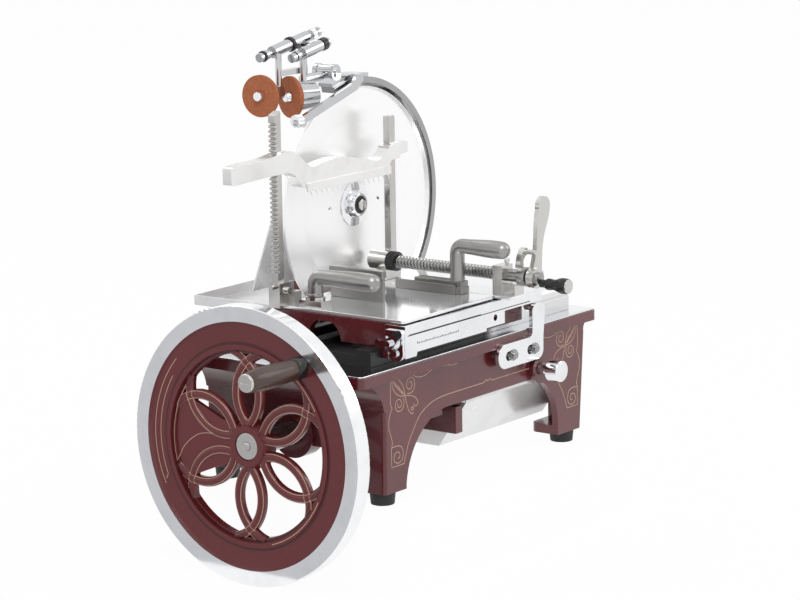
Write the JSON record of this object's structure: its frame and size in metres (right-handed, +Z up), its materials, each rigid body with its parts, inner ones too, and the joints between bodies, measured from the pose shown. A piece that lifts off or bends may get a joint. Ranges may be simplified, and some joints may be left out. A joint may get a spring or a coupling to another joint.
{
  "type": "hand crank meat slicer",
  "caption": "Hand cranked flywheel meat slicer: cast base, round knife, sliding carriage with screw fed table, toothed press and knife sharpener.",
  "frame": {"origin": "centre of the four feet, on the surface that they stand on", "axes": "+X along the base and the carriage travel, away from the flywheel; +Y from the operator's face to the knife; +Z up"},
  "size_m": [0.6468, 0.4648, 0.6423],
  "materials": {
    "red_enamel": "glossy enamel on cast iron",
    "chrome": "mirror plated",
    "nickel": "satin nickel",
    "steel": "machined steel",
    "stainless": "sheet",
    "black_iron": "black enamel",
    "bronze": "bronze",
    "rubber": "matt black",
    "wood": "dark turned hardwood",
    "black_plastic": "black knob",
    "abrasive": "orange bonded grit"
  },
  "bodies": {
    "stand": {"base_casting": "red_enamel", "base_top_plate": "chrome", "rubber_feet": "rubber", "underside_guard": "stainless", "slide_bed": "black_iron", "shaft_bushes": "bronze", "gear_carriers": "red_enamel", "drive_chain": "steel", "knife_column": "red_enamel", "blade_guard": "chrome", "slice_deflector": "chrome", "slice_tray": "chrome", "support_bracket": "chrome", "bracket_bolts": "nickel", "sharpener_bracket": "chrome"},
    "flywheel": {"wheel_rim": "chrome", "wheel_web": "red_enamel", "hub_cap": "nickel", "main_shaft": "steel", "handle_pin": "nickel", "shaft_gears": "steel"},
    "grip": {"handle_grip": "wood"},
    "crank": {"crown_gear": "steel", "crank_arm": "steel"},
    "countershaft": {"cross_shaft": "steel", "lower_sprocket": "steel"},
    "knife": {"blade": "chrome", "knife_shaft": "steel", "knife_nut": "chrome", "upper_sprocket": "steel"},
    "beam_roller": {"support_roller": "nickel"},
    "thickness_dial": {"thickness_knob": "chrome"},
    "carriage": {"lower_carriage": "red_enamel", "drag_pin": "steel", "carriage_beam": "chrome", "carriage_deck": "chrome", "screw_bearing": "nickel"},
    "drag_rod": {"connecting_rod": "steel"},
    "beam_wing": {"wing_lever": "chrome"},
    "screw": {"feed_screw": "steel"},
    "ratchet_lever": {"feed_lever": "nickel"},
    "release": {"release_knob": "black_plastic"},
    "table": {"table_plate": "chrome", "table_clamps": "nickel", "toothed_rack": "nickel", "plain_post": "nickel", "nut_carrier": "nickel", "feed_nut": "black_iron"},
    "press": {"press_bar": "nickel", "press_comb": "nickel"},
    "jaw_right": {"right_jaw": "nickel"},
    "handle_right": {"right_handle": "nickel"},
    "jaw_left": {"left_jaw": "nickel"},
    "handle_left": {"left_handle": "nickel"},
    "sharpener": {"sharpener_head": "chrome", "stone_axles": "chrome"},
    "stone_left": {"left_stone": "abrasive"},
    "stone_right": {"right_stone": "abrasive"},
    "pusher_left": {"left_push_rod": "chrome"},
    "pusher_right": {"right_push_rod": "chrome"}
  },
  "joints": [
    {"name": "wheel_spin", "type": "hinge", "parent": "stand", "child": "flywheel", "pos_m": [-0.3, 0, 0.076], "axis": [1, 0, 0], "continuous": true},
    {"name": "grip_spin", "type": "hinge", "parent": "flywheel", "child": "grip", "pos_m": [-0.35, -0.088, 0.1835], "axis": [1, 0, 0], "continuous": true},
    {"name": "crank_spin", "type": "hinge", "parent": "stand", "child": "crank", "pos_m": [-0.095, 0, 0.11], "axis": [0, 0, 1], "continuous": true},
    {"name": "countershaft_spin", "type": "hinge", "parent": "stand", "child": "countershaft", "pos_m": [-0.0026, 0.05, 0.076], "axis": [0, 1, 0], "continuous": true},
    {"name": "knife_spin", "type": "hinge", "parent": "stand", "child": "knife", "pos_m": [-0.0026, 0.06, 0.3226], "axis": [0, 1, 0], "continuous": true},
    {"name": "beam_roller_spin", "type": "hinge", "parent": "stand", "child": "beam_roller", "pos_m": [0.098, -0.1375, 0.197], "axis": [0, 1, 0], "continuous": true},
    {"name": "thickness_turn", "type": "hinge", "parent": "stand", "child": "thickness_dial", "pos_m": [0.114, -0.15, 0.112], "axis": [0, 1, 0], "range_deg": [-170, 170]},
    {"name": "carriage_slide", "type": "slide", "parent": "stand", "child": "carriage", "axis": [1, 0, 0], "range_m": [-0.069, 0.11]},
    {"name": "rod_swing", "type": "hinge", "parent": "carriage", "child": "drag_rod", "pos_m": [0.03478, 0, 0.138], "axis": [0, 0, 1], "range_deg": [-73.4, 0.2]},
    {"name": "wing_turn", "type": "hinge", "parent": "carriage", "child": "beam_wing", "pos_m": [-0.21, -0.147, 0.202], "axis": [1, 0, 0], "range_deg": [-25, 25]},
    {"name": "screw_turn", "type": "hinge", "parent": "carriage", "child": "screw", "pos_m": [0.02, -0.15, 0.25], "axis": [0, 1, 0], "range_deg": [-10800, 0]},
    {"name": "ratchet_swing", "type": "hinge", "parent": "carriage", "child": "ratchet_lever", "pos_m": [0.02, -0.199, 0.25], "axis": [0, 1, 0], "range_deg": [-35, 25]},
    {"name": "release_pull", "type": "slide", "parent": "carriage", "child": "release", "axis": [0, 1, 0], "range_m": [-0.008, 0]},
    {"name": "table_feed", "type": "slide", "parent": "carriage", "child": "table", "axis": [0, 1, 0], "range_m": [-0.15, 0]},
    {"name": "press_slide", "type": "slide", "parent": "table", "child": "press", "axis": [0, 0, 1], "range_m": [-0.09, 0.02]},
    {"name": "right_jaw_slide", "type": "slide", "parent": "table", "child": "jaw_right", "axis": [1, 0, 0], "range_m": [-0.06, 0]},
    {"name": "right_handle_turn", "type": "hinge", "parent": "jaw_right", "child": "handle_right", "pos_m": [-0.01, -0.104, 0.26], "axis": [0, 0, 1], "range_deg": [-25, 15]},
    {"name": "left_jaw_slide", "type": "slide", "parent": "table", "child": "jaw_left", "axis": [1, 0, 0], "range_m": [0, 0.03]},
    {"name": "left_handle_turn", "type": "hinge", "parent": "table", "child": "handle_left", "pos_m": [-0.17, -0.006, 0.25], "axis": [0, 0, 1], "range_deg": [-15, 30]},
    {"name": "sharpener_swing", "type": "hinge", "parent": "stand", "child": "sharpener", "pos_m": [-0.018, 0.09, 0.492], "axis": [0, 1, 0], "range_deg": [-4, 12]},
    {"name": "left_stone_spin", "type": "hinge", "parent": "sharpener", "child": "stone_left", "pos_m": [-0.15, 0.088, 0.475], "axis": [0.9962, 0.0872, 0], "continuous": true},
    {"name": "right_stone_spin", "type": "hinge", "parent": "sharpener", "child": "stone_right", "pos_m": [-0.096, 0.084, 0.468], "axis": [0.9511, -0.309, 0], "continuous": true},
    {"name": "left_push", "type": "slide", "parent": "sharpener", "child": "pusher_left", "axis": [0.9836, 0, 0.1802], "range_m": [0, 0.007]},
    {"name": "right_push", "type": "slide", "parent": "sharpener", "child": "pusher_right", "axis": [0.9836, 0, 0.1802], "range_m": [0, 0.007]}
  ],
  "couplings": [
    {"joint": "crank_spin", "follows": "wheel_spin", "ratio": 0.4},
    {"joint": "countershaft_spin", "follows": "wheel_spin", "ratio": 2},
    {"joint": "knife_spin", "follows": "wheel_spin", "ratio": 4},
    {"joint": "screw_turn", "follows": "table_feed", "rad_per_m": 1256.6}
  ]
}
